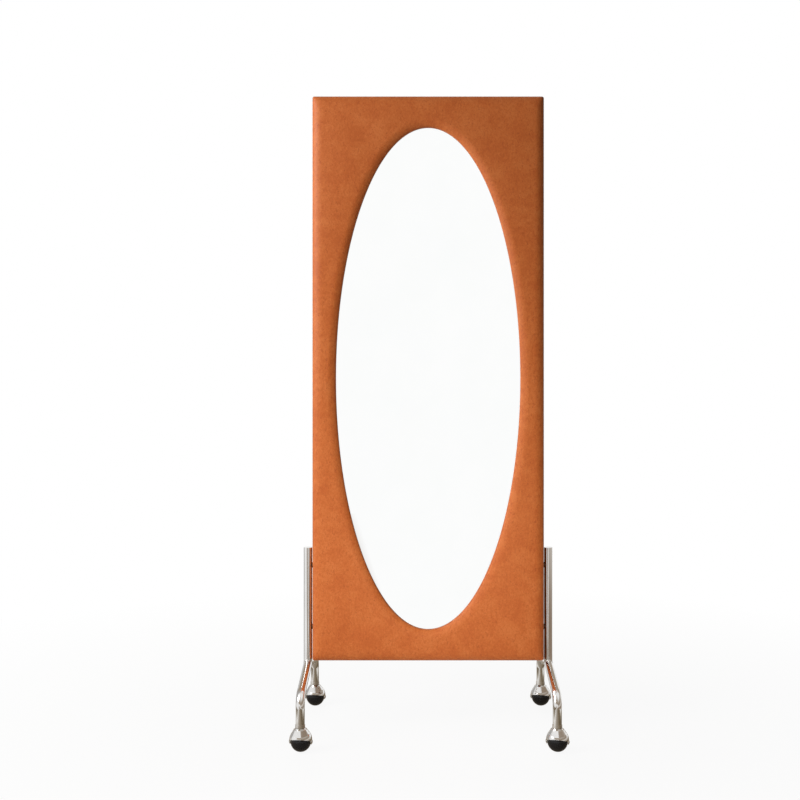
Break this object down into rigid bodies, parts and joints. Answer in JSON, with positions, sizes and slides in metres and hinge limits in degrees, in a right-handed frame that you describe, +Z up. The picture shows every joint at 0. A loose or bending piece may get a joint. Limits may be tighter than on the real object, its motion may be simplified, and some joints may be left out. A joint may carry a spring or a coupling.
{
  "type": "rolling floor mirror",
  "caption": "Full-length oval mirror sunk in a tall padded panel with a leather-look cover, held between two bent chrome tube legs on swivelling hooded ball casters.",
  "frame": {"origin": "on the floor, in the centre plane of the panel and midway between the two legs; the casters trail a few millimetres behind and beside their feet at rest, so the bounding box is that far off centre", "axes": "+X to the right seen from the front, +Y from front to back, +Z up; the mirror faces -Y"},
  "size_m": [0.6842, 0.4359, 1.64],
  "materials": {
    "leather": "satin",
    "foam": "matte",
    "plywood": "matte",
    "pine": "matte",
    "hardwood": "matte",
    "hardboard": "matte",
    "mirror": "polished",
    "film": "satin",
    "tape": "matte",
    "felt": "matte",
    "chrome": "polished",
    "steel": "satin",
    "black_steel": "satin",
    "nylon": "satin",
    "ball": "gloss"
  },
  "bodies": {
    "stand": {"leather_cover": "leather", "foam_pad": "foam", "front_board": "plywood", "board_screws": "steel", "left_stile": "pine", "right_stile": "pine", "top_rail": "pine", "bottom_rail": "pine", "upper_mid_rail": "pine", "lower_mid_rail": "pine", "frame_dowels": "hardwood", "mirror_tape": "tape", "mirror_glass": "mirror", "mirror_film": "film", "mirror_clips": "steel", "clip_screws": "steel", "mirror_pads": "felt", "cover_staples": "steel", "back_panel": "hardboard", "back_screws": "black_steel", "left_arch_tube": "chrome", "right_arch_tube": "chrome", "left_post": "chrome", "right_post": "chrome", "post_caps": "chrome", "foot_inserts": "nylon", "leg_spacers": "chrome", "leg_nuts": "steel", "leg_washers": "steel", "leg_bolts": "steel", "thrust_washers": "nylon", "retaining_rings": "steel", "front_left_stem": "chrome", "front_right_stem": "chrome", "rear_left_stem": "chrome", "rear_right_stem": "chrome"},
    "front_left_caster": {"front_left_hood": "chrome", "front_left_axle": "steel", "front_left_axle_spacers": "nylon"},
    "front_left_wheel": {"front_left_ball": "ball"},
    "front_right_caster": {"front_right_hood": "chrome", "front_right_axle": "steel", "front_right_axle_spacers": "nylon"},
    "front_right_wheel": {"front_right_ball": "ball"},
    "rear_left_caster": {"rear_left_hood": "chrome", "rear_left_axle": "steel", "rear_left_axle_spacers": "nylon"},
    "rear_left_wheel": {"rear_left_ball": "ball"},
    "rear_right_caster": {"rear_right_hood": "chrome", "rear_right_axle": "steel", "rear_right_axle_spacers": "nylon"},
    "rear_right_wheel": {"rear_right_ball": "ball"}
  },
  "joints": [
    {"name": "front_left_swivel", "type": "hinge", "parent": "stand", "child": "front_left_caster", "pos_m": [-0.3126, -0.19, 0.068], "axis": [0, 0, 1], "continuous": true},
    {"name": "front_right_swivel", "type": "hinge", "parent": "stand", "child": "front_right_caster", "pos_m": [0.3126, -0.19, 0.068], "axis": [0, 0, 1], "continuous": true},
    {"name": "rear_left_swivel", "type": "hinge", "parent": "stand", "child": "rear_left_caster", "pos_m": [-0.3126, 0.19, 0.068], "axis": [0, 0, 1], "continuous": true},
    {"name": "rear_right_swivel", "type": "hinge", "parent": "stand", "child": "rear_right_caster", "pos_m": [0.3126, 0.19, 0.068], "axis": [0, 0, 1], "continuous": true},
    {"name": "front_left_roll", "type": "hinge", "parent": "front_left_caster", "child": "front_left_wheel", "pos_m": [-0.3119, -0.18203, 0.025], "axis": [0.9962, -0.0872, 0], "continuous": true},
    {"name": "front_right_roll", "type": "hinge", "parent": "front_right_caster", "child": "front_right_wheel", "pos_m": [0.31426, -0.18218, 0.025], "axis": [0.9781, -0.2079, 0], "continuous": true},
    {"name": "rear_left_roll", "type": "hinge", "parent": "rear_left_caster", "child": "rear_left_wheel", "pos_m": [-0.3119, 0.19797, 0.025], "axis": [0.9962, -0.0872, 0], "continuous": true},
    {"name": "rear_right_roll", "type": "hinge", "parent": "rear_right_caster", "child": "rear_right_wheel", "pos_m": [0.31426, 0.19783, 0.025], "axis": [0.9781, -0.2079, 0], "continuous": true}
  ]
}
